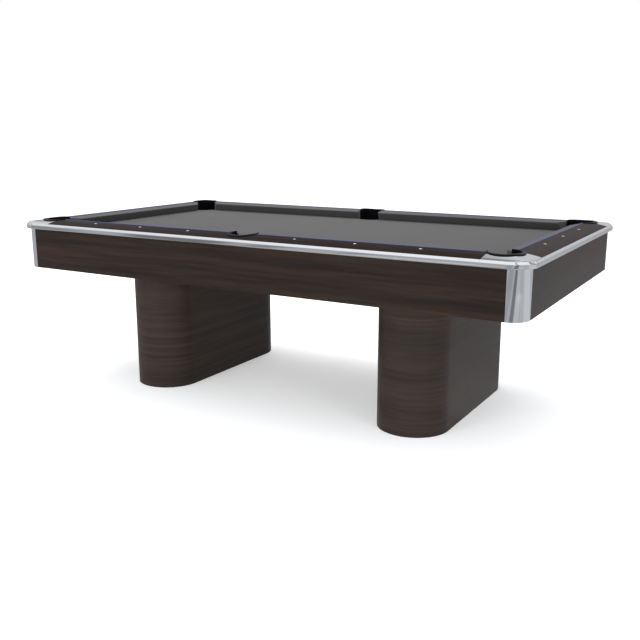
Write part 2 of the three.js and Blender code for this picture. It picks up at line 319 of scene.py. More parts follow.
def blended(tree, share, a, b):
    """A colour mixed from a to b by share."""
    made = add_node(tree, "ShaderNodeMix", {"data_type": "RGBA"})
    set_input(tree, made, 0, share)
    return feed(tree, made, a, b, first=6)[2]


def ranged(tree, value, low_in, high_in, low_out, high_out):
    """low_out + (high_out - low_out) * (value - low_in) / (high_in - low_in), kept between the two."""
    return add_node(tree, "ShaderNodeMapRange", {"clamp": True}, Value=value, From_Min=low_in,
                    From_Max=high_in, To_Min=low_out, To_Max=high_out).outputs[0]


def noise(tree, vector, scale, detail=4.0, roughness=0.55, distortion=0.0):
    """Fractal noise, mostly between 0.3 and 0.7."""
    return add_node(tree, "ShaderNodeTexNoise", Vector=vector, Scale=scale, Detail=detail,
                    Roughness=roughness, Distortion=distortion).outputs["Fac"]


def scaled(tree, vector, scale):
    return add_node(tree, "ShaderNodeMapping", Vector=vector, Scale=scale).outputs[0]


def tinted(tree, colour, level):
    """A colour times a level."""
    return feed(tree, add_node(tree, "ShaderNodeVectorMath", {"operation": "SCALE"}, Scale=level), colour)[0]


def new_group(name, inputs, outputs):
    """An empty node group with its sockets: inputs are (name, kind, value), outputs (name, kind)."""
    group = bpy.data.node_groups.new(name, "ShaderNodeTree")
    for label, kind, value in inputs:
        socket = group.interface.new_socket(label, in_out="INPUT", socket_type=kind)
        socket.default_value = value
    for label, kind in outputs:
        group.interface.new_socket(label, in_out="OUTPUT", socket_type=kind)
    return group, group.nodes.new("NodeGroupInput").outputs, group.nodes.new("NodeGroupOutput")


FINISH = [("Color", COLOUR), ("Roughness", FLOAT), ("Height", FLOAT)]
print("a finish group gives", [label for label, kind in FINISH])

# %% [markdown]
# ## Figured timber as a group
#
# Dark veneer shows broad warm bands with fine black lines in them and open pores. One noise,
# stretched along the grain by the material, gives all three at three pitches. A painted image could
# be richer but would not follow the piece's own size, and wave bands look too regular for wood.

# %% Timber group
LINE_PITCH, PORE_PITCH = 5.0, 34.0
LINE_SHARE = 0.42
TIMBER_ROUGHNESS, BAND_ROUGHNESS = 0.34, 0.06


def make_timber_group():
    """Colour = ground to band by noise in s * (x, y, z), then towards the line's colour by noise at
    five times the pitch. Height = 0.3 * lines - 0.1 * pores."""
    group, given, result = new_group(
        "figured timber",
        [("Vector", VECTOR, (0, 0, 0)), ("Ground", COLOUR, BLACK), ("Band", COLOUR, BLACK),
         ("Line", COLOUR, BLACK), ("Figure", FLOAT, 1.0)],
        FINISH,
    )
    vector = given["Vector"]
    broad = ranged(group, noise(group, vector, 1.0, 5.0, 0.6, 0.35), 0.40, 0.68, 0.0, 1.0)
    lines = noise(group, vector, LINE_PITCH, 6.0, 0.6, 0.2)
    fine = ranged(group, lines, 0.44, 0.60, 0.0, 1.0)
    pore = ranged(group, noise(group, vector, PORE_PITCH, 2.0, 0.5), 0.55, 0.66, 0.0, 1.0)
    colour = blended(group, maths(group, "MULTIPLY", broad, given["Figure"]), given["Ground"], given["Band"])
    colour = blended(group, maths(group, "MULTIPLY", fine, LINE_SHARE), colour, given["Line"])
    rough = maths(group, "MULTIPLY_ADD", broad, BAND_ROUGHNESS, TIMBER_ROUGHNESS)
    ridge, pit = maths(group, "MULTIPLY", lines, 0.3), maths(group, "MULTIPLY", pore, 0.1)
    height = maths(group, "SUBTRACT", ridge, pit)
    wire(group, result, Color=colour, Roughness=rough, Height=height)
    return group


timber_group = make_timber_group()
print("group:", timber_group.name)

# %% [markdown]
# ## Woven cloth as a group
#
# Billiard cloth is a tight worsted weave, brushed so that it looks nearly even. Two crossed waves
# make the threads and a fine noise the nap over them. A third noise, hundreds of millimetres wide,
# stands for brushing and play.

# %% Cloth group
def make_cloth_group():
    """Height = 0.4 * sin(pitch x) * sin(pitch y) + nap. Colour = the given one * (nap tone + wear)."""
    group, given, result = new_group(
        "woven cloth",
        [("Vector", VECTOR, (0, 0, 0)), ("Colour", COLOUR, BLACK), ("Pitch", FLOAT, 2600.0)],
        FINISH,
    )
    vector = given["Vector"]
    split = add_node(group, "ShaderNodeSeparateXYZ", Vector=vector).outputs
    waves = [maths(group, "SINE", maths(group, "MULTIPLY", split[axis], given["Pitch"])) for axis in (0, 1)]
    weave = maths(group, "MULTIPLY", *waves)
    nap = noise(group, vector, 900.0, 3.0, 0.7)
    worn = noise(group, vector, 2.4, 3.0, 0.5)
    nap_tone = ranged(group, nap, 0.3, 0.7, 0.86, 1.10)
    tone = maths(group, "ADD", nap_tone, ranged(group, worn, 0.3, 0.7, -0.05, 0.05))
    height = maths(group, "ADD", maths(group, "MULTIPLY", weave, 0.4), nap)
    rough = ranged(group, nap, 0.3, 0.7, 0.86, 1.0)
    wire(group, result, Color=tinted(group, given["Colour"], tone), Roughness=rough, Height=height)
    return group


cloth_group = make_cloth_group()
print("group:", cloth_group.name)

# %% [markdown]
# ## Handling as a group
#
# Fingers and wiping leave a faint cloudiness on every polished surface. It is nearly invisible by
# itself but keeps a mirror from looking drawn. Clouds the size of a hand carry a finer grain of
# dust.

# %% Handling group
def make_handling_group():
    """Roughness = base + amount * (cloud + 0.4 * dust)."""
    group, given, result = new_group(
        "handling",
        [("Vector", VECTOR, (0, 0, 0)), ("Base", FLOAT, 0.1), ("Amount", FLOAT, 0.1)],
        [("Roughness", FLOAT), ("Cloud", FLOAT)],
    )
    vector = given["Vector"]
    cloud = ranged(group, noise(group, vector, 9.0, 4.0, 0.6), 0.42, 0.72, 0.0, 1.0)
    dust = ranged(group, noise(group, vector, 260.0, 2.0, 0.6), 0.5, 0.75, 0.0, 1.0)
    both = maths(group, "ADD", cloud, maths(group, "MULTIPLY", dust, 0.4))
    rough = maths(group, "ADD", maths(group, "MULTIPLY", both, given["Amount"]), given["Base"])
    wire(group, result, Roughness=rough, Cloud=both)
    return group


handling_group = make_handling_group()
print("group:", handling_group.name)

# %% [markdown]
# ## Timber finishes
#
# Each material keeps its own Principled shader and takes patterns from the groups. All read Object
# coordinates, which are metres in the table's own frame because every piece sits at the origin, so
# a grain band is as wide on the rail as on the panel. The grain runs level on the cabinet and
# pedestals and along each rail, which takes different stretches of the same noise. The pedestals
# get a lighter copy of the cabinet's veneer colours: painted light that lifts the shade they stand
# in under the table top.

# %% Timber finishes
def new_material(name, **sockets):
    """A material with a Principled shader whose sockets are set by name. Gives back the material, its
    tree, its shader and the Object coordinates."""
    material = bpy.data.materials.new(name)
    material.use_nodes = True
    tree = material.node_tree
    shader = tree.nodes["Principled BSDF"]
    wire(tree, shader, **sockets)
    return material, tree, shader, tree.nodes.new("ShaderNodeTexCoord").outputs["Object"]


def use_group(tree, group, vector, **inputs):
    return add_node(tree, "ShaderNodeGroup", {"node_tree": group}, Vector=vector, **inputs).outputs


def bump(tree, shader, height, distance, strength):
    """Relief of a given depth in metres, into the shader's Normal."""
    made = add_node(tree, "ShaderNodeBump", Height=height, Distance=distance, Strength=strength)
    wire(tree, shader, Normal=made.outputs[0])


def finished(tree, shader, finish, distance, strength):
    """A finish group's three outputs on a shader."""
    wire(tree, shader, Base_Color=finish["Color"], Roughness=finish["Roughness"])
    bump(tree, shader, finish["Height"], distance, strength)


def timber(name, stretch, colours, figure=1.0, shine=0.16):
    """colours are those of the ground, the bands and the lines."""
    material, tree, shader, where = new_material(name, Specular_IOR_Level=shine)
    ground, band, line = colours
    vector = scaled(tree, where, stretch)
    grain = use_group(tree, timber_group, vector, Ground=ground, Band=band, Line=line, Figure=figure)
    finished(tree, shader, grain, 0.1 * MM, 0.3)
    return material


DARK = ((0.0175, 0.0125, 0.0105, 1), (0.041, 0.0230, 0.0160, 1), (0.0075, 0.0058, 0.0050, 1))
# Painted light: a lighter copy of DARK that lifts the pedestals out of the shade under the table top.
DARK_LIT_COPY = ((0.034, 0.0270, 0.0235, 1), (0.053, 0.0355, 0.0275, 1), (0.0195, 0.0160, 0.0140, 1))
PALE = ((0.50, 0.36, 0.22, 1), (0.62, 0.47, 0.30, 1), (0.36, 0.25, 0.15, 1))
level_timber = timber("timber, level grain", (0.5, 0.5, 15), DARK)
# Painted light: the pedestals wear the lighter copy, which brightens their shaded faces.
pedestal_timber_painted_lighter = timber("timber, pedestals, painted lighter", (0.5, 0.5, 17), DARK_LIT_COPY, 1.0, 0.12)
long_timber = timber("timber, long rails", (0.6, 24, 24), DARK, 0.7, 0.015)
end_timber = timber("timber, end rails", (24, 0.6, 24), DARK, 0.7, 0.03)
frame_timber = timber("plywood and softwood", (3, 3, 60), PALE)
print("timber finishes:", len(bpy.data.materials))

# %% [markdown]
# ## Cloth finishes
#
# Wool scatters light at its edges, which a little sheen gives. The bed and the cushions wear the
# same cloth; the cushions' is stretched harder and looks a shade lighter. The blue line along the
# rails is the same weave in blue.

# %% Cloth finishes
def cloth(name, colour):
    material, tree, shader, where = new_material(
        name, Sheen_Weight=0.08, Sheen_Roughness=0.6, Specular_IOR_Level=0.15
    )
    finished(tree, shader, use_group(tree, cloth_group, where, Colour=colour), 0.25 * MM, 0.5)
    return material


bed_fabric = cloth("bed cloth", (0.075, 0.0715, 0.0725, 1))
cushion_fabric = cloth("cushion cloth", (0.080, 0.078, 0.080, 1))
blue_line_cloth = cloth("blue line cloth", (0.062, 0.080, 0.235, 1))
print("cloths:", bed_fabric.name, "/", cushion_fabric.name, "/", blue_line_cloth.name)

# %% [markdown]
# ## Metal, plastic, pearl and slate
#
# Everything polished shares one recipe and differs in colour, in how metallic it is and in how
# rough it is under the film of handling. The slate is honed, not polished: layers of two greys,
# stretched flat like its bedding.

# %% Hard finishes
def polished(name, colour, base, amount, **sockets):
    material, tree, shader, where = new_material(name, Base_Color=colour, **sockets)
    film = use_group(tree, handling_group, where, Base=base, Amount=amount)
    wire(tree, shader, Roughness=film["Roughness"])
    bump(tree, shader, film["Cloud"], 0.03 * MM, 0.15)
    return material


def honed_slate():
    material, tree, shader, where = new_material("honed slate")
    layers = noise(tree, scaled(tree, where, (3, 3, 160)), 1.0, 5.0, 0.6)
    share = ranged(tree, layers, 0.35, 0.65, 0.0, 1.0)
    colour = blended(tree, share, (0.075, 0.080, 0.088, 1), (0.125, 0.132, 0.140, 1))
    wire(tree, shader, Base_Color=colour, Roughness=ranged(tree, layers, 0.3, 0.7, 0.6, 0.8))
    bump(tree, shader, layers, 0.4 * MM, 0.5)
    return material


chrome = polished("chrome", (0.83, 0.84, 0.86, 1), 0.055, 0.07, Metallic=1.0)
zinc = polished("zinc-plated steel", (0.56, 0.57, 0.59, 1), 0.28, 0.2, Metallic=1.0)
liner_black = polished("black liner", (0.004, 0.004, 0.005, 1), 0.26, 0.12, Specular_IOR_Level=0.06)
basket_black = polished("black basket", (0.012, 0.012, 0.013, 1), 0.42, 0.2)
pearl = polished("pearl sight", (0.80, 0.79, 0.75, 1), 0.16, 0.1, Coat_Weight=0.6)
slate = honed_slate()
print("materials:", len(bpy.data.materials))

# %% [markdown]
# ## CAD nodes that stay
#
# The slates and the timber frame underneath are flat-sided pieces whose CAD shape is already right,
# so they stay and only get a finish.

# %% Finish the CAD nodes
STAYING = {
    slate: ["slate_left", "slate_centre", "slate_right"],
    frame_timber: [
        "stringer_front", "stringer_back", "cross_beam_left", "cross_beam_centre", "cross_beam_right",
        "pedestal_left_base_plate", "pedestal_right_base_plate",
        "pedestal_left_top_plate", "pedestal_right_top_plate",
    ],
}
for material, names in STAYING.items():
    for name in names:
        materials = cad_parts[name].data.materials
        materials.clear()
        materials.append(material)
print("CAD nodes kept:", sum(len(names) for names in STAYING.values()))

# %% [markdown]
# ## Pedestals
#
# Each pedestal is a box of bent plywood with half-round ends, veneered outside. Its outline is a
# stadium: two half circles joined by straight sides. Moving a stadium in or out along its normals
# gives another stadium, so the wall, with its eased edges, is a small section carried round that
# outline by its normals. A subdivision surface could do it too, but its ends would not be true half
# circles.

# %% Pedestals
SHELL_EASE = 1.5 * MM


def stadium(radius, half_depth, arc_steps=40, straight_steps=10):
    """Points and normals of the outline: centre + radius * (cos, sin) on the ends, and straight lines."""
    end = half_depth - radius
    half_turn = np.linspace(0, math.pi, arc_steps)
    angle = np.concatenate([half_turn, math.pi + half_turn])
    normals = np.stack([np.cos(angle), np.sin(angle)], 1)
    centres = np.where(np.arange(len(angle)) < arc_steps, end, -end)
    points = radius * normals + np.stack([np.zeros(len(angle)), centres], 1)
    share = np.linspace(0, 1, straight_steps)[1:-1, None]
    left = points[arc_steps - 1] + share * (points[arc_steps] - points[arc_steps - 1])
    right = points[-1] + share * (points[0] - points[-1])
    flat = np.ones((len(share), 1))
    points = np.concatenate([points[:arc_steps], left, points[arc_steps:], right])
    normals = np.concatenate([normals[:arc_steps], flat * [[-1, 0]], normals[arc_steps:], flat * [[1, 0]]])
    return points, normals


def pedestal(side):
    node = f"pedestal_{side}_shell"
    bottom, top = low(node), high(node)
    centre_x, radius, half_depth = (bottom.x + top.x) / 2, (top.x - bottom.x) / 2, top.y
    wall = top.x - high(f"pedestal_{side}_base_plate").x - GAP
    section = rounded([[0, bottom.z], [0, top.z], [-wall, top.z], [-wall, bottom.z]], SHELL_EASE)
    points, normals = stadium(radius, half_depth)
    plan = points[:, None] + normals[:, None] * section[None, :, :1]
    skin = lofted(points_at(centre_x + plan[..., 0], plan[..., 1], section[:, 1]), ring=True)
    return build(node + "_skin", [skin], pedestal_timber_painted_lighter, stands_for=[node])


for side in ("left", "right"):
    pedestal(side)

# %% [markdown]
# ## Cabinet panels
#
# The four aprons are plain veneered boards. A box with a bevel modifier would do. Here the section
# is rounded by a millimetre and a half and carried along the side, as for everything on this table
# that runs straight, because the eased arris, which draws a thin light line on the real one, is
# then part of the section.

# %% Panels
PANEL_EASE = 1.5 * MM


def panel(side):
    node = f"panel_{side}"
    length = high(node).x if side in ("front", "back") else high(node).y
    corners = [[panel_in, panel_low], [panel_out, panel_low], [panel_out, panel_high], [panel_in, panel_high]]
    section = rounded(corners, PANEL_EASE)
    board = on_side(carried(section, np.linspace(-length, length, 24)), side)
    return build(node + "_board", [lofted(board)], level_timber, stands_for=[node])


for side in SIDE_TURNS:
    panel(side)

# %% [markdown]
# ## Where the pockets are
#
# Rails, castings, liners and cloth all have to agree about the pockets, so their centres and radii
# are worked out once, from the CAD's baskets. The rail's crown is shared in the same way: one
# function of the distance out from the nose line, used by everything that lies on a rail.

# %% Pocket places
POCKET_TURNS = {
    "front_left": 135, "front_right": -135, "back_left": 45, "back_right": -45,
    "front_centre": 180, "back_centre": 0,
}
CORNER_INNER, SIDE_INNER = 62 * MM, 58 * MM
LINER_WALL = 4 * MM
POCKET_CLEARANCE = 0.8 * MM
CROWN_DROP = 14 * MM


def middle(node):
    """Centre of a node's box, seen from above."""
    bottom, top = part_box(node)
    return (bottom.x + top.x) / 2, (bottom.y + top.y) / 2


corner_x, corner_y = middle("pocket_basket_back_right")
side_y = middle("pocket_basket_back_centre")[1]
corner_past, side_past = corner_x - play_x, side_y - play_y
corner_cut = CORNER_INNER + LINER_WALL + POCKET_CLEARANCE
side_cut = SIDE_INNER + LINER_WALL + POCKET_CLEARANCE


def crown(out):
    """Height of the rail top at a distance out from the nose line: top - drop * share^2, with share
    running from 0 at the cushion to 1 at the outer edge."""
    share = np.clip((np.asarray(out, float) - blue_line) / (rail_out - blue_line), 0, 1)
    return rail_top - CROWN_DROP * share**2


def at_pocket(points, name):
    """A shape drawn about a pocket's axis, y outwards from the table, set at the named pocket."""
    return turn(points, POCKET_TURNS[name]) + np.array([*middle(f"pocket_basket_{name}"), 0])


print(f"corner pockets lie {corner_past:.4f} m past the nose lines, side pockets {side_past:.4f} m")

# %% [markdown]
# ## Rails
#
# A rail is a crowned timber cap. It is highest beside the cushion and falls away to the trim in a
# gentle curve, here a parabola. At each pocket its inner edge follows a circle, so the section is
# not the same all along: the inner edge is the larger of the straight line and the circle. The
# stations where it is worked out are evenly spaced along the rail and, round each pocket, at even
# angles, which keeps the curve round without a boolean.

# %% Rails
EASE = 0.8 * MM
RAIL_STEP = 127 * MM


def circle_crossings(x, past, radius, steps=40):
    """Places along the rail at even angles round a pocket's circle: x + radius * cos(angle)."""
    start = math.asin((blue_line - past) / radius)
    return x + radius * np.cos(np.linspace(start, math.pi - start, steps))


def inner_edge(x, circles):
    """The larger of the feather line and each circle's far side, past + sqrt(radius^2 - (x - centre)^2)."""
    edge = np.full(len(x), blue_line)
    for centre, past, radius in circles:
        reach = radius**2 - (x - centre) ** 2
        edge = np.where(reach > 0, np.maximum(edge, past + np.sqrt(np.maximum(reach, 0))), edge)
    return edge


def eased_drop(distance):
    """How far a quarter-round edge has fallen, a distance from the end: r - sqrt(r^2 - (r - d)^2)."""
    inside = np.clip(EASE - distance, 0, EASE)
    return EASE - np.sqrt(EASE**2 - inside**2)


def across(start, end, count=18):
    """Distances from start to end, with three extra ones at each end to draw an eased edge."""
    span = end - start
    even = EASE + (span - 2 * EASE) * np.linspace(0, 1, count)
    eased = EASE * np.array([0, 0.12, 0.45]) * np.ones_like(span)
    return start + np.concatenate([eased, even, span - eased[..., ::-1]], -1)


def rail(side):
    node = f"rail_{side}"
    is_long = side in ("front", "back")
    seam, half = (long_seam, play_x) if is_long else (end_seam, play_y)
    circles = [(sign * (half + corner_past), corner_past, corner_cut) for sign in (-1, 1)]
    circles += [(0, side_past, side_cut)] if is_long else []
    x = np.concatenate([np.linspace(-seam, seam, 90)] + [circle_crossings(*circle) for circle in circles])
    x = np.unique(np.round(x[np.abs(x) <= seam], 5))
    inner = inner_edge(x, circles)[:, None]
    out = across(inner, np.full_like(inner, rail_out))
    height = crown(out) - eased_drop(np.minimum(out - inner, rail_out - out))
    ones = np.ones_like(inner)
    out = np.concatenate([inner, out, rail_out * ones, RAIL_STEP * ones, RAIL_STEP * ones], 1)
    height = np.concatenate([rail_low * ones, height, rim_low * ones, rim_low * ones, rail_low * ones], 1)
    skin = lofted(on_side(points_at(x[:, None], out, height), side))
    material = long_timber if is_long else end_timber
    return build(node + "_cap", [skin], material, stands_for=[node])


for side in SIDE_TURNS:
    rail(side)

# %% [markdown]
# ## Metal trim
#
# Along the outer edge of each rail runs a drawn metal moulding. Its section has a sloping shoulder
# above and an upright face below, which is why the real one shows two bands of different
# brightness. A bevelled curve would sweep the same strip, but the corner castings could not share
# its section then, so it is written once as distances out from the rail's edge.

# %% Trim
def rim_section():
    """From the rail's edge over the shoulder and down the face, with its corners eased."""
    bulge = rim_out - rail_out
    corners = [
        [0, rim_high], [0.22 * bulge, rim_high], [0.95 * bulge, rim_high - 9 * MM],
        [bulge, rim_high - 11 * MM], [bulge, rim_low + 3 * MM], [0.8 * bulge, rim_low], [0, rim_low],
    ]
    eases = np.array([0, 1.5, 2.5, 3, 2, 1.5, 0]) * MM
    steps = 4
    return rounded(corners, np.maximum(eases, 1e-6), steps)[steps:-steps]


RIM = rim_section()


def trim(side):
    node = f"trim_{side}"
    stop = high("trim_back").x if side in ("front", "back") else end_trim_stop
    face = np.array([[GAP, rim_high], [GAP, rim_low]])
    section = np.concatenate([face[:1], RIM[RIM[:, 0] > GAP], face[1:]]) + np.array([rail_out, 0])
    skin = carried(section, np.linspace(-stop, stop, 30))
    return build(node + "_moulding", [lofted(on_side(skin, side))], chrome, stands_for=[node])


for side in SIDE_TURNS:
    trim(side)

# %% [markdown]
# ## Corner castings
#
# The casting carries both rails round the corner. Cutting a cylinder out of a rounded box would
# leave slanting edges that no bevel eases cleanly. So the plan comes first: seen from above, the
# casting lies between the pocket's circle and an outer outline with a rounded corner. Lines drawn
# from one to the other, square to the rails on the two legs and fanned from the pocket's centre
# between them, sweep it without crossing.

# %% Casting plan
CORNER_RADIUS = 82 * MM
SEAM_ANGLE = 0.0004


def fan_reach(angle):
    """Distance from the pocket's centre to the outer outline: (out - past) / sin or / cos to the straight
    edges, and between them the root of |centre + reach * direction - arc centre| = corner radius."""
    c, s = np.cos(angle), np.sin(angle)
    gap = post_centre - corner_past
    arc = gap * (c + s) + np.sqrt(np.maximum(gap**2 * (c + s) ** 2 - 2 * gap**2 + CORNER_RADIUS**2, 0))
    edge = (rail_out - corner_past) / np.maximum(np.maximum(c, s), 1e-9)
    across_edge = corner_past + edge * np.minimum(c, s)
    return np.where(across_edge < post_centre, edge, arc)


def casting_plan():
    """Inner points, outer points, outward directions and a flag for the rim, station by station."""
    u_start, v_start = long_seam + GAP - play_x, end_seam + GAP - play_y
    rim_start = end_trim_stop + GAP - play_y
    u = np.linspace(u_start, corner_past, 12)[:-1]
    first_in = np.stack([u, corner_past + np.sqrt(corner_cut**2 - (u - corner_past) ** 2)], 1)
    first_out = np.stack([u, np.full(len(u), rail_out)], 1)
    stop = math.atan2(rim_start - corner_past, rail_out - corner_past)
    angle = np.concatenate([
        np.linspace(math.pi / 2, math.pi / 4, 24), np.linspace(math.pi / 4, stop, 12)[1:],
        np.linspace(stop - SEAM_ANGLE, 0, 10),
    ])
    direction = np.stack([np.cos(angle), np.sin(angle)], 1)
    fan_in = corner_past + corner_cut * direction
    fan_out = corner_past + fan_reach(angle)[:, None] * direction
    v = np.linspace(corner_past, v_start, 6)[1:]
    last_in = np.stack([corner_past + np.sqrt(corner_cut**2 - (v - corner_past) ** 2), v], 1)
    last_out = np.stack([np.full(len(v), rail_out), v], 1)
    inner = np.concatenate([first_in, fan_in, last_in])
    outer = np.concatenate([first_out, fan_out, last_out])
    beyond = np.maximum(outer - post_centre, 0) + 1e-9 * (outer > rail_out - 1e-6)
    length = np.linalg.norm(beyond, axis=1, keepdims=True)
    normal = np.where(length > 1e-6, beyond / np.maximum(length, 1e-12), outer > rail_out - 1e-6)
    has_rim = np.concatenate([np.ones(len(first_in)), angle >= stop - 1e-6, np.zeros(len(last_in))])
    return inner, outer, normal, has_rim


print("the corner's plan has", len(casting_plan()[0]), "stations")

# %% [markdown]
# ## Casting and post
#
# With the plan known, the casting is one loft: at each station the section runs over the crown,
# down the rim, and back underneath to the pocket's wall. The height is the crown of whichever rail
# is nearer its outer edge, and the two crowns meet on the diagonal in a soft hip, as on a mitred
# roof. The quarter-round post below covers the cabinet's corner and is part of the same casting.

# %% Corner castings
POST_RADIUS = 72 * MM
POST_WALL = 8 * MM
POST_EASE = 1.2 * MM
POST_INTO_RIM = 4 * MM
UNDERCUT_SHARE = 0.42


def casting_skin():
    inner, outer, normal, has_rim = casting_plan()
    span = np.linalg.norm(outer - inner, axis=1, keepdims=True)
    travel = across(np.zeros_like(span), span, 16)
    plan = inner[:, None] + (outer - inner)[:, None] * (travel / span)[..., None]
    height = crown(plan.max(-1)) - eased_drop(np.minimum(travel, span - travel))
    rim_out_by = RIM[:, 0] * has_rim[:, None]
    rim_plan = outer[:, None] + normal[:, None] * rim_out_by[..., None]
    sections = [points_at(plan[..., 0], plan[..., 1], height)]
    sections += [points_at(rim_plan[..., 0], rim_plan[..., 1], RIM[:, 1])]
    under = inner + UNDERCUT_SHARE * (outer - inner)
    for where, z in ((under, rim_low), (under, rail_low), (inner, rail_low)):
        sections.append(points_at(where[:, :1], where[:, 1:], z))
    return np.concatenate(sections, 1)


def post_skin():
    """A quarter ring: a rounded wall section carried from 0 to 90 degrees about the post's axis."""
    inside, top = POST_RADIUS - POST_WALL, rim_low + POST_INTO_RIM
    corners = [[inside, panel_low], [POST_RADIUS, panel_low], [POST_RADIUS, top], [inside, top]]
    section = rounded(corners, POST_EASE)
    angle = np.linspace(0, math.pi / 2, 33)[:, None]
    return spun(section[:, 0], angle, section[:, 1], post_centre, post_centre)


def on_corner(points, name):
    """A shape drawn beyond the crossing of the nose lines, mirrored into the named corner."""
    x_sign = 1 if name.endswith("right") else -1
    y_sign = 1 if name.startswith("back") else -1
    return (points + np.array([play_x, play_y, 0])) * np.array([x_sign, y_sign, 1])


CORNERS = ("front_left", "front_right", "back_left", "back_right")
for name in CORNERS:
    skins = [lofted(on_corner(casting_skin(), name)), lofted(on_corner(post_skin(), name))]
    build(f"corner_{name}", skins, chrome, stands_for=[f"corner_casting_{name}"])

# %% [markdown]
# ## Cushions
#
# A cushion is a triangular strip of rubber under stretched cloth. A swept triangle would need
# cutting at twelve ends. Instead its section is given as two heights over the same distances out
# from the nose, one above and one below, which meet in a small round at the nose. Each end can then
# have its own slant: at every distance out, the strip stops where the facing's line or the pocket's
# circle says. The side-pocket facings close in by a quarter of their depth, and the corner ones by
# 1.28 times theirs.

# %% Cushions
NOSE_ROUND = 3.2 * MM
TOE_OUT = 22 * MM
CORNER_MOUTH, CORNER_SLOPE = 82 * MM, 1.28
SIDE_MOUTH, SIDE_SLOPE = 64 * MM, 0.249


def cushion_heights():
    """Distances out, and the upper and lower height at each: nose +- sqrt(r^2 - (r - t)^2) while the
    round lasts, then straight lines to the back edge and to the toe."""
    back = high("cushion_back_left").y - play_y
    turn_angle = np.linspace(0, math.radians(78), 8)
    round_out = NOSE_ROUND * (1 - np.cos(turn_angle))
    face, behind = np.linspace(NOSE_ROUND, TOE_OUT, 7), np.linspace(TOE_OUT, back, 8)
    out = np.unique(np.concatenate([round_out, face, behind]))
    arc = np.sqrt(np.maximum(NOSE_ROUND**2 - (NOSE_ROUND - out) ** 2, 0))
    base, top = low("cushion_back_left").z, high("cushion_back_left").z
    upper_end = nose_z + NOSE_ROUND * math.sin(turn_angle[-1])
    upper = np.interp(out, [round_out[-1], back], [upper_end, top])
    lower_start = 0.45 * NOSE_ROUND
    lower = np.interp(out, [lower_start, TOE_OUT, back], [nose_z - 0.835 * NOSE_ROUND, base, base])
    upper = np.where(out <= round_out[-1], nose_z + arc, upper)
    lower = np.where(out <= lower_start, nose_z - arc, lower)
    return out, upper, lower


def cushion_end(out, mouth, slope, centre, past, radius):
    """Where the strip stops, as a distance from the pocket's axis along the rail: the facing's line or
    the circle, whichever is farther from the axis. Near the nose only the facing counts."""
    facing = mouth - slope * out
    reach = radius**2 - (out - past) ** 2
    circle = np.sqrt(np.maximum(reach, 0)) - centre
    return np.where(out > past * 0.3, np.maximum(facing, circle), facing)


def cushion(name, side, start, end):
    """start and end are arrays over the distances out; the skin is lofted between them."""
    out, upper, lower = cushion_heights()
    out = np.concatenate([out, out[:0:-1]])
    height = np.concatenate([upper, lower[:0:-1]])
    start, end = np.concatenate([start, start[:0:-1]]), np.concatenate([end, end[:0:-1]])
    share = (0.5 - 0.5 * np.cos(np.linspace(0, math.pi, 60)))[:, None]
    skin = points_at(start + (end - start) * share, out, height)
    rows, columns = skin.shape[:2]
    n = (columns + 1) // 2
    i = np.arange(1, n - 1)
    ladder = np.stack([i, i + 1, columns - i - 1, columns - i], 1)
    tip = np.array([[0, 1, columns - 1]])
    last = (rows - 1) * columns
    faces = [quads(rows, columns, False, True), ladder, tip, ladder[:, ::-1] + last, tip[:, ::-1] + last]
    points = on_side(skin, side).reshape(-1, 3)
    piece = build(f"{name}_cloth", [(points, faces)], cushion_fabric, stands_for=[name])
    return piece


out_steps = cushion_heights()[0]
corner_end = cushion_end(out_steps, CORNER_MOUTH, CORNER_SLOPE, corner_past, corner_past, corner_cut)
side_end = cushion_end(out_steps, SIDE_MOUTH, SIDE_SLOPE, 0, side_past, side_cut)
for side in ("front", "back"):
    other = {"front": ("right", "left"), "back": ("left", "right")}[side]
    cushion(f"cushion_{side}_{other[0]}", side, -(play_x - corner_end), -side_end)
    cushion(f"cushion_{side}_{other[1]}", side, side_end, play_x - corner_end)
for side in ("left", "right"):
    cushion(f"cushion_{side}", side, -(play_y - corner_end), play_y - corner_end)

# %% [markdown]
# ## Blue lines along the rails
#
# A narrow blue line runs along each rail's inner edge, where cushion and rail meet. It could be a
# band of colour in the timber, but colour has no height, and from across the table the rail's crown
# would hide it. A half-round bead of blue cloth two millimetres high is enough to be seen.

# %% Blue lines
STRIP_HALF_WIDTH = 3.2 * MM
STRIP_HEIGHT = 2.3 * MM
STRIP_SUNK = 0.3 * MM
STRIP_FOOT = 2 * MM
STRIP_STOP, SIDE_STOP = 38 * MM, 66 * MM


def blue_line_bead(name, side, start, end):
    """A half ellipse, (w cos a, h sin a), carried along the feather line."""
    angle = np.linspace(0, math.pi, 11)
    out = blue_line + STRIP_HALF_WIDTH * np.cos(angle)
    bead = np.stack([out, rail_top - STRIP_SUNK + STRIP_HEIGHT * np.sin(angle)], 1)
    foot = [[blue_line - 0.3 * MM, rail_top - STRIP_FOOT], [blue_line - 0.1 * MM, rail_top - STRIP_FOOT]]
    section = np.concatenate([bead, foot])
    skin = lofted(on_side(carried(section, np.linspace(start, end, 20)), side))
    return build(name, [skin], blue_line_cloth)


for side in ("front", "back"):
    blue_line_bead(f"feather_{side}_a", side, -(play_x - STRIP_STOP), -SIDE_STOP)
    blue_line_bead(f"feather_{side}_b", side, SIDE_STOP, play_x - STRIP_STOP)
for side in ("left", "right"):
    blue_line_bead(f"feather_{side}", side, -(play_y - STRIP_STOP), play_y - STRIP_STOP)

# %% [markdown]
# ## Sights
#
# Eighteen round inlays stand along the rails, an eighth of the field's length apart. They could be
# spots in the timber's material, but a real inlay has an edge and a face of its own. Each is a disc
# whose face follows the rail's crown and stands a fifth of a millimetre proud, so it catches its
# own highlight.

# %% Sights
SIGHT_RADIUS = 6.2 * MM
SIGHT_OUT = 90 * MM
sight_pitch = play_x / 4


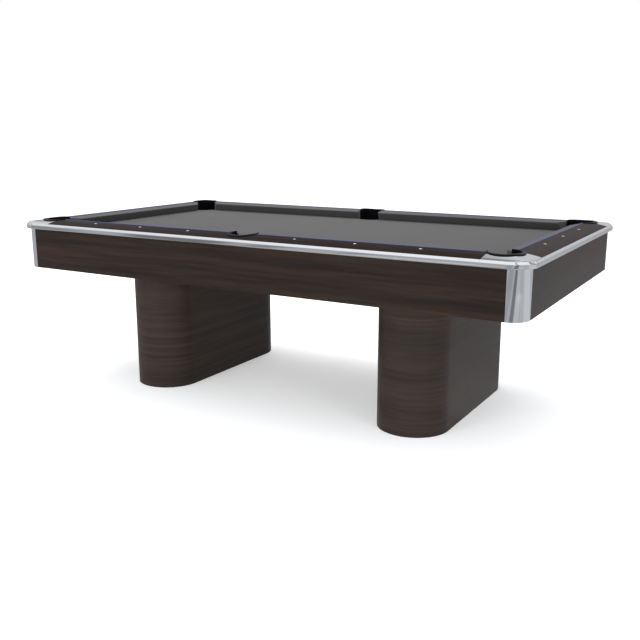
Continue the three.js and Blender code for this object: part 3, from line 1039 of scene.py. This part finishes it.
def sight(x, side):
    """Rings of points. Height = crown + a dome a few tenths proud, with a short skirt below the edge."""
    share = np.array([0.02, 0.3, 0.6, 0.8, 0.93, 1.0, 1.0])
    proud = np.array([0.3, 0.3, 0.28, 0.24, 0.15, 0.0, -1.5]) * MM
    angle = np.linspace(0, 2 * math.pi, 32, endpoint=False)
    along = x + SIGHT_RADIUS * share[:, None] * np.cos(angle)
    out = SIGHT_OUT + SIGHT_RADIUS * share[:, None] * np.sin(angle)
    return lofted(on_side(points_at(along, out, crown(out) + proud[:, None]), side))


for side in SIDE_TURNS:
    marks = (-3, -2, -1, 1, 2, 3) if side in ("front", "back") else (-1, 0, 1)
    build(f"sights_{side}", [sight(mark * sight_pitch, side) for mark in marks], pearl)

# %% [markdown]
# ## Bed cloth
#
# The cloth is stretched over the slates and rolls over their edges at the pockets. A cloth
# simulation would only find the same tight sheet, so the shape is written down directly. Seen from
# the middle of the table, every point of the outline is in plain view, so rings of points shrinking
# towards the centre cover it with no crossing. The outermost rings roll down over the edge: a
# quarter circle and then a short drop.

# %% Bed cloth
CLOTH_ROLL = 3.5 * MM
CLOTH_DROP = 18 * MM
CLOTH_THICKNESS = 1.1 * MM
BITE_SPLAY = 0.012
BITE_HALF_ANGLE = math.radians(84)
BED_CLEARANCE = 1.5 * MM


def pocket_bite(centre, radius, steps=40):
    """The near half of a pocket's circle, from the tangent on one side to the tangent on the other, with
    the two points beyond it at the slate's outer edge, a little to each side so that no face is
    squeezed to nothing."""
    bearing = math.atan2(centre[1], centre[0])
    angle = bearing + math.pi + np.linspace(1, -1, steps) * BITE_HALF_ANGLE
    arc = np.asarray(centre) + radius * np.stack([np.cos(angle), np.sin(angle)], 1)
    edge = np.array([high("slate_right").x, high("slate_right").y])
    ends = arc[[0, -1]]
    ends = ends * (edge / np.maximum(np.abs(ends), 1e-9)).min(1, keepdims=True)
    ends = ends + BITE_SPLAY * np.array([[1], [-1]]) * ends[:, ::-1] * [1, -1]
    return np.concatenate([ends[:1], arc, ends[1:]])


def bed_outline():
    """The bites in order round the table, with straight runs between them."""
    half = [(corner_x, corner_y, corner_cut), (0, side_y, side_cut), (-corner_x, corner_y, corner_cut)]
    places = half + [(-x, -y, cut) for x, y, cut in half]
    bites = [pocket_bite((x, y), cut + BED_CLEARANCE) for x, y, cut in places]
    loop = []
    for bite, following in zip(bites, bites[1:] + bites[:1]):
        share = np.linspace(0, 1, 14)[1:-1, None]
        loop += [bite, bite[-1] + share * (following[0] - bite[-1])]
    return np.concatenate(loop)


def rolled_cloth():
    """Rings at outline * share, then the roll, inwards by r (1 - sin a) and down by r (1 - cos a), then
    the drop."""
    outline = bed_outline()
    along = np.roll(outline, -1, 0) - np.roll(outline, 1, 0)
    inward = np.stack([-along[:, 1], along[:, 0]], 1) / np.linalg.norm(along, axis=1, keepdims=True)
    shares = np.concatenate([np.linspace(0.04, 0.96, 22), [0.985]])
    flat = outline[None] * shares[:, None, None]
    angle = np.linspace(0, math.pi / 2, 7)[:, None, None]
    rolled = outline + inward * (CLOTH_ROLL * (1 - np.sin(angle)))
    hanging = np.broadcast_to(outline, (2,) + outline.shape)
    plan = np.concatenate([flat, rolled, hanging])
    roll = CLOTH_ROLL * (1 - np.cos(angle.ravel()))
    fall = np.concatenate([np.zeros(len(shares)), roll, [0.5 * CLOTH_DROP, CLOTH_DROP]])
    points = points_at(plan[..., 0], plan[..., 1], (bed_top - fall)[:, None])
    rings, around = points.shape[:2]
    pole = len(outline) * rings
    j = np.arange(around)
    fan = np.stack([np.full(around, pole), (j + 1) % around, j], 1)
    skin = np.concatenate([points.reshape(-1, 3), [[0, 0, bed_top]]])
    return skin, [quads(rings, around, False, True), fan[:, ::-1]]


bed = build("bed_cloth_stretched", [rolled_cloth()], bed_fabric, stands_for=["bed_cloth"],
            closed=False)
thickness = bed.modifiers.new("cloth thickness", "SOLIDIFY")
thickness.thickness = CLOTH_THICKNESS
thickness.offset = -1

# %% [markdown]
# ## Pocket liners
#
# Each pocket has a black moulding: an open-fronted wall down the hole and a crescent lip that lies
# on the rail. Half a torus would give a lip of even width. The real lip's edge is a circle of its
# own, moved outwards from the wall's, so the width swells towards the back and dies away at the
# tips. The section is worked out at each angle and follows the crown under it.

# %% Pocket liners
LIP_SHIFT = 12 * MM
LIP_EXTRA = 11 * MM
LIP_FADE = math.radians(14)
LINER_TIPS = {"corner": (-38, -24), "side": (-20, 3)}


def pocket_crown(angle, radius, is_side):
    """Rail height under a point given by angle and radius about the pocket's axis."""
    if is_side:
        return crown(side_past + radius * np.sin(angle))
    bearing = angle - math.pi / 4
    return crown(corner_past + radius * np.maximum(np.cos(bearing), np.sin(bearing)))


def lip_edge(angle, inner, tip):
    """shift * sin a + sqrt(R^2 - shift^2 cos^2 a), fading to the wall's outer face near the tip."""
    reach = inner + LIP_EXTRA
    edge = LIP_SHIFT * np.sin(angle) + np.sqrt(reach**2 - (LIP_SHIFT * np.cos(angle)) ** 2)
    lead = np.minimum(angle, math.pi - angle) - math.radians(tip)
    fade = np.clip(lead / LIP_FADE, 0, 1)
    fade = fade * fade * (3 - 2 * fade)
    wall = inner + LINER_WALL + 0.6 * MM
    return wall + fade * (np.maximum(edge, wall) - wall)


def liner_skin(is_side):
    """At each angle: up the wall's outside, out under the lip, over its dome and down the inside."""
    inner = SIDE_INNER if is_side else CORNER_INNER
    wall_tip, lip_tip = LINER_TIPS["side" if is_side else "corner"]
    start = math.radians(wall_tip)
    angle = np.linspace(start, math.pi - start, 121)[:, None]
    outer = inner + LINER_WALL
    edge = lip_edge(angle, inner, lip_tip)
    base = low("pocket_liner_back_right").z
    ones = np.ones_like(angle)
    share = np.linspace(0.08, 0.92, 9)
    dome_radius = edge + (inner - edge) * share
    dome = pocket_crown(angle, dome_radius, is_side) + (3.0 + 1.6 * np.sin(math.pi * share)) * MM
    rest = pocket_crown(angle, edge, is_side) + 0.3 * MM
    seat = pocket_crown(angle, outer * ones, is_side) + 0.3 * MM
    brink = pocket_crown(angle, inner * ones, is_side)
    radius = [inner * ones, outer * ones, outer * ones, edge - 0.5 * MM, edge, edge - 0.3 * MM, dome_radius,
              inner + 0.3 * MM * ones, inner * ones, inner * ones]
    height = [base * ones, base * ones, seat, rest, rest + 1.0 * MM, rest + 2.1 * MM, dome,
              brink + 2.4 * MM, brink + 1.0 * MM, 0.5 * (brink + base)]
    return spun(np.concatenate(radius, 1), angle, np.concatenate(height, 1))


for name in POCKET_TURNS:
    skin = lofted(at_pocket(liner_skin(name.endswith("centre")), name))
    build(f"liner_{name}", [skin], liner_black, stands_for=[f"pocket_liner_{name}"])

# %% [markdown]
# ## Drop baskets
#
# Under each pocket hangs a moulded cup. Its section is spun round the pocket's axis, the way a
# lathe would turn the mould. The shallow ribs that stiffen the wall come from letting the radius
# change with the angle, which keeps the wall one closed skin with the drain hole in its floor.

# %% Drop baskets
BASKET_WALL = 2 * MM
DRAIN_RADIUS = 14 * MM
RIB_COUNT, RIB_DEPTH = 18, 0.9 * MM


def basket_skin(is_side):
    """The section, from the drain hole out and up the wall, over the flange and back down inside."""
    inner = SIDE_INNER if is_side else CORNER_INNER
    outer = inner + BASKET_WALL
    floor, rim = low("pocket_basket_back_right").z, high("pocket_basket_back_right").z
    bottom = [[DRAIN_RADIUS, floor], [outer - 14 * MM, floor], [outer - 5 * MM, floor + 4 * MM],
              [outer - 1 * MM, floor + 10 * MM]]
    wall = [[outer, z] for z in np.linspace(floor + 18 * MM, rim - 7 * MM, 8)]
    flange = [[outer, rim - 5 * MM], [outer + 12.5 * MM, rim - 5 * MM], [outer + 13.5 * MM, rim - 4 * MM],
              [outer + 13.5 * MM, rim - 0.6 * MM], [outer + 13 * MM, rim - 0.1 * MM], [inner, rim - 0.1 * MM]]
    inside = [[inner - 1 * MM, rim - 2 * MM], [inner - 1 * MM, floor + 16 * MM],
              [inner - 6 * MM, floor + 7 * MM], [inner - 13 * MM, floor + 4 * MM],
              [DRAIN_RADIUS, floor + 4 * MM]]
    profile = np.array(bottom + wall + flange + inside)
    first_ribbed, end_ribbed = len(bottom), len(bottom) + len(wall)

    def ribs(angle, number):
        ribbed = (number >= first_ribbed) & (number < end_ribbed)
        return np.where(ribbed, RIB_DEPTH * np.clip(4 * np.cos(RIB_COUNT * angle), 0, 1), 0)

    return turned_profile(profile, 144, flute=ribs)


for name in POCKET_TURNS:
    points, faces = basket_skin(name.endswith("centre"))
    build(f"basket_{name}", [(at_pocket(points, name), faces)], basket_black,
          stands_for=[f"pocket_basket_{name}"])

# %% [markdown]
# ## Levelers
#
# Two screw feet stand under each pedestal. Stacked rings would pass for a thread from afar, but
# they would not climb when the stem turns. This thread is a true helix: the radius falls by a
# triangle wave of the height over the pitch less the angle over a full turn. The foot rides its own
# body, which slides, and the stem rides another, which also turns.

# %% Levelers
THREAD_PITCH = 2 * MM
THREAD_DEPTH = 0.9 * MM
RINGS_A_PITCH = 6
CHAMFER_SHARE = 0.98
SHANK_RADIUS = 8 * MM
HEAD_DEPTH = 13 * MM
NUT_DEPTH, NUT_RADIUS, NUT_HOLE = 9 * MM, 14 * MM, 8.3 * MM


def threaded_rod(x, y, bottom, top, radius):
    """r = radius - depth * (1 - |2 frac(z / pitch - angle / 2 pi) - 1|), with the ridge fading out over
    the last turn at each end."""
    angle = np.linspace(0, 2 * math.pi, 32, endpoint=False)
    z = np.linspace(bottom, top, int((top - bottom) / THREAD_PITCH * RINGS_A_PITCH))[:, None]
    phase = z / THREAD_PITCH - angle / (2 * math.pi)
    wave = np.abs(2 * (phase - np.floor(phase)) - 1)
    fade = np.clip(np.minimum(z - bottom, top - z) / THREAD_PITCH, 0, 1)
    r = radius - THREAD_DEPTH * (1 - fade * (1 - wave))
    return lofted(spun(r, angle, z, x, y))


def hex_prism(x, y, bottom, top, radius, hole=None):
    """A six-sided head or nut with chamfered ends. A hole makes it a nut. The side is at radius *
    cos 30 / cos of the angle from the nearest flat's middle."""
    depth = 0.08 * radius
    angle = np.linspace(0, 2 * math.pi, 48, endpoint=False)
    half_flat = radius * math.cos(math.pi / 6)
    flat = half_flat / np.cos((angle + math.pi / 6) % (math.pi / 3) - math.pi / 6)
    eased = np.minimum(flat, CHAMFER_SHARE * half_flat)
    radii, heights = [eased, flat, flat, eased], [bottom, bottom + depth, top - depth, top]
    if hole:
        radii += [np.full_like(angle, hole)] * 2
        heights += [top, bottom]
    return lofted(spun(np.stack(radii), angle, np.array(heights)[:, None], x, y), ring=bool(hole))


def foot_skin(x, y, node):
    """A disc with a rubber-like rounded edge, a dished top and a boss, spun round the stem's axis."""
    bottom, top = low(node).z, high(node).z
    radius = (high(node).x - low(node).x) / 2
    shares = np.array([0.1, 0.9, 1.0, 1.0, 0.82, 0.46, 0.40, 0.24])[:, None]
    up = np.array([0, 0, 2, 5, 8, 10])[:, None] * MM
    heights = np.concatenate([bottom + up, [[top], [top]]])
    return lofted(spun(radius * shares, np.linspace(0, 2 * math.pi, 64, endpoint=False), heights, x, y))


for side in ("left", "right"):
    for end in ("front", "back"):
        where = f"{side}_{end}"
        foot, stem = f"leveler_foot_{where}", f"leveler_stem_{where}"
        x, y = middle(foot)
        build(f"foot_{where}_disc", [foot_skin(x, y, foot)], zinc, f"foot_{where}", [foot])
        head = high(stem).z
        shank = threaded_rod(x, y, low(stem).z, head - HEAD_DEPTH + 1 * MM, SHANK_RADIUS)
        cap = hex_prism(x, y, head - HEAD_DEPTH, head, (high(stem).y - low(stem).y) / 2)
        build(f"stem_{where}_thread", [shank, cap], zinc, f"stem_{where}", [stem])
        plate_top = high(f"pedestal_{side}_base_plate").z
        nut = hex_prism(x, y, plate_top, plate_top + NUT_DEPTH, NUT_RADIUS, NUT_HOLE)
        build(f"nut_{where}", [nut], zinc)

# %% [markdown]
# ## Bolts and screws
#
# The rails are held by bolts that come up through the slate, each with a washer, and the baskets by
# screws through their rims. They are only seen from below and never move on their own, so each
# side's bolts and each basket's screws share one mesh.

# %% Bolts and screws
BOLT_OUT = 78 * MM
LONG_BOLTS = (-960, -800, -540, -360, -180, 180, 360, 540, 800, 960)
END_BOLTS = (-440, -180, 0, 180, 440)
WASHER_RADIUS, WASHER_HOLE, WASHER_DEPTH = 14 * MM, 5.2 * MM, 2.2 * MM
BOLT_HEAD_RADIUS, BOLT_HEAD_LOW = 9.5 * MM, 9 * MM
SCREW_BEARINGS = (20, 90, 160, 230, 310)
SCREW_OUT = 9 * MM
ceiling = low("slate_centre").z


def rail_bolts(side):
    """A washer against the slate and a six-sided head under it, at each place along the rail."""
    bodies = []
    top, bottom = ceiling - 0.1 * MM, ceiling - WASHER_DEPTH
    corners = [[WASHER_HOLE, bottom], [WASHER_RADIUS, bottom], [WASHER_RADIUS, top], [WASHER_HOLE, top]]
    washer = rounded(corners, 0.3 * MM, 2)
    for place in LONG_BOLTS if side in ("front", "back") else END_BOLTS:
        x, y, _ = on_side(np.array([place * MM, BOLT_OUT, 0.0]), side)
        bodies.append(turned_profile(washer, 40, (x, y)))
        bodies.append(hex_prism(x, y, ceiling - BOLT_HEAD_LOW, bottom, BOLT_HEAD_RADIUS))
    return build(f"rail_bolts_{side}", bodies, zinc)


def basket_screws(name):
    """Five pan heads under the basket's flange, wider at the flange than at their faces."""
    out = (SIDE_INNER if name.endswith("centre") else CORNER_INNER) + SCREW_OUT
    face, flange = ceiling - 8.4 * MM, ceiling - 5.3 * MM
    pan = rounded([[1.6 * MM, face], [3.6 * MM, face], [4.6 * MM, flange], [1.6 * MM, flange]], 0.8 * MM, 3)
    bodies = []
    for angle in np.radians(SCREW_BEARINGS):
        x, y, _ = at_pocket(np.array([out * math.cos(angle), out * math.sin(angle), 0.0]), name)
        bodies.append(turned_profile(pan, 24, (x, y)))
    return build(f"basket_screws_{name}", bodies, zinc)


for side in SIDE_TURNS:
    rail_bolts(side)
for name in POCKET_TURNS:
    basket_screws(name)

# %% [markdown]
# ## The floor
#
# A wide pale floor, plain to the eye. Bright metal shows nothing but its surroundings, and a mirror
# of an even floor would be flat, so for mirrors the floor is a grey glow, lit by no lamp, with darker
# and lighter bands by bearing: painted reflections standing in for the things about a room. They
# paint the post's and the trim's streaks.

# %% Floor
FLOOR_REACH = 60.0
FLOOR_TONE = (0.90, 0.90, 0.90, 1)
FLOOR_GLOW = (0.34, 0.345, 0.35, 1)
MIRRORED_TONE, MIRRORED_BASE, MIRRORED_LEVEL = (0.97, 1.0, 1.04), (0.06, 0.06, 0.06, 1), 0.33
# Painted reflection: bands of glow by bearing that only mirrors see on the floor.
PAINTED_REFLECTION_BANDS = (
    (0.66, 0.11, 0.28), (0.93, 0.13, 1.25), (1.95, 0.75, 1.15), (1.75, 0.33, 1.35), (0.2, 0.2, 0.75),
    (-0.66, 0.09, 0.30), (-0.50, 0.03, 0.5), (-0.33, 0.02, 0.5), (-0.88, 0.05, 0.6),
)


def banded(tree, value, bands, plain, softness):
    """plain, multiplied within each band (centre, half width, level) of value by the band's level, with
    an edge that spreads by softness, a share of the half width, to either side."""
    for centre, half, level in bands:
        away = maths(tree, "ABSOLUTE", maths(tree, "SUBTRACT", value, centre))
        inside, outside = (1 - softness) * half, (1 + softness) * half
        plain = maths(tree, "MULTIPLY", plain, ranged(tree, away, inside, outside, level, 1.0))
    return plain


def bearing(tree, split):
    """The direction seen from above, in radians from the front of the table towards its right."""
    return maths(tree, "ARCTAN2", split[0], maths(tree, "MULTIPLY", split[1], -1.0))


def make_floor():
    corners = FLOOR_REACH * np.array([[-1, -1, 0], [1, -1, 0], [1, 1, 0], [-1, 1, 0]], float)
    mesh = bpy.data.meshes.new("floor")
    mesh.from_pydata(corners.tolist(), [], [[0, 1, 2, 3]])
    material, tree, shader, where = new_material("pale floor", Roughness=0.8, Specular_IOR_Level=0.1)
    path = tree.nodes.new("ShaderNodeLightPath").outputs
    split = add_node(tree, "ShaderNodeSeparateXYZ", Vector=where).outputs
    # Painted reflection: for mirror rays the floor turns dark and glows in bands by bearing.
    level = banded(tree, bearing(tree, split), PAINTED_REFLECTION_BANDS, MIRRORED_LEVEL, 0.2)
    base = blended(tree, path["Is Glossy Ray"], FLOOR_TONE, MIRRORED_BASE)
    glow = blended(tree, path["Is Glossy Ray"], BLACK, tinted(tree, MIRRORED_TONE, level))
    glow = blended(tree, path["Is Camera Ray"], glow, FLOOR_GLOW)
    wire(tree, shader, Base_Color=base, Emission_Color=glow, Emission_Strength=1.0)
    mesh.materials.append(material)
    floor = bpy.data.objects.new("floor", mesh)
    bpy.context.scene.collection.objects.link(floor)


make_floor()
print("floor reaches", FLOOR_REACH, "m each way")

# %% [markdown]
# ## The surroundings
#
# The world is lightest overhead and darker towards the horizon, which is how a room with a lit
# ceiling looks. The light it gives is smooth; mirrors see the same rise with bands across it, by
# height and by bearing. What the camera sees directly is plain white.

# %% World
SKY_BANDS = ((0.30, 0.03, 0.45), (0.56, 0.035, 0.55), (0.07, 0.05, 0.5))
WALL_BANDS = ((2.2, 0.12, 0.35), (-2.6, 0.2, 0.5), (0.7, 0.15, 0.5))
SKY_COLOUR = (0.97, 0.98, 1.0, 1)
WHITE = (1, 1, 1, 1)


def make_world():
    """Strength = a rise with height, 0.55 to 1.25, or for mirrors 0.5 to 1 times the bands."""
    world = bpy.data.worlds.new("studio")
    bpy.context.scene.world = world
    world.use_nodes = True
    tree = world.node_tree
    tree.nodes.clear()
    path = tree.nodes.new("ShaderNodeLightPath").outputs
    direction = tree.nodes.new("ShaderNodeTexCoord").outputs["Generated"]
    split = add_node(tree, "ShaderNodeSeparateXYZ", Vector=direction).outputs
    smooth = ranged(tree, split[2], 0.0, 0.75, 0.55, 1.25)
    mirrored = banded(tree, split[2], SKY_BANDS, ranged(tree, split[2], 0.0, 0.85, 0.50, 1.0), 0.3)
    mirrored = banded(tree, bearing(tree, split), WALL_BANDS, mirrored, 0.2)
    level = add_node(tree, "ShaderNodeMix")
    set_input(tree, level, 0, path["Is Glossy Ray"])
    strength = feed(tree, level, smooth, mirrored, first=2)[0]
    around = add_node(tree, "ShaderNodeBackground", Color=SKY_COLOUR, Strength=strength)
    plain = add_node(tree, "ShaderNodeBackground", Color=WHITE, Strength=1.0)
    mix = add_node(tree, "ShaderNodeMixShader")
    seen = feed(tree, mix, path["Is Camera Ray"], around.outputs[0], plain.outputs[0])[0]
    add_node(tree, "ShaderNodeOutputWorld", Surface=seen)


make_world()
print("world:", bpy.context.scene.world.name)

# %% [markdown]
# ## The lights
#
# One large light high behind gives the rails and the bed their shape. Two weaker ones, low in front
# and to the right, open up the panels and the pedestals. Mirrors don't see them, or they would show
# as white squares in the corner castings.

# %% Lights
def area_light(name, place, aim, size, power):
    """A square soft light that looks from its place towards its aim."""
    lamp = bpy.data.lights.new(name, "AREA")
    lamp.size = size
    lamp.energy = power
    holder = bpy.data.objects.new(name, lamp)
    bpy.context.scene.collection.objects.link(holder)
    holder.location = place
    holder.rotation_mode = "QUATERNION"
    holder.rotation_quaternion = (Vector(aim) - Vector(place)).to_track_quat("-Z", "Y")
    holder.visible_glossy = False
    print(f"{name} light: {power} W, {size} m wide")


area_light("key", (-1.6, 2.2, 4.4), (0, 0, 0.5), 2.6, 130)
area_light("fill", (-0.9, -4.6, 1.0), (0, 0, 0.4), 1.6, 84)
area_light("side", (4.6, -2.6, 0.95), (-0.3, 0, 0.4), 1.1, 62)
bpy.context.scene.view_settings.view_transform = "Standard"
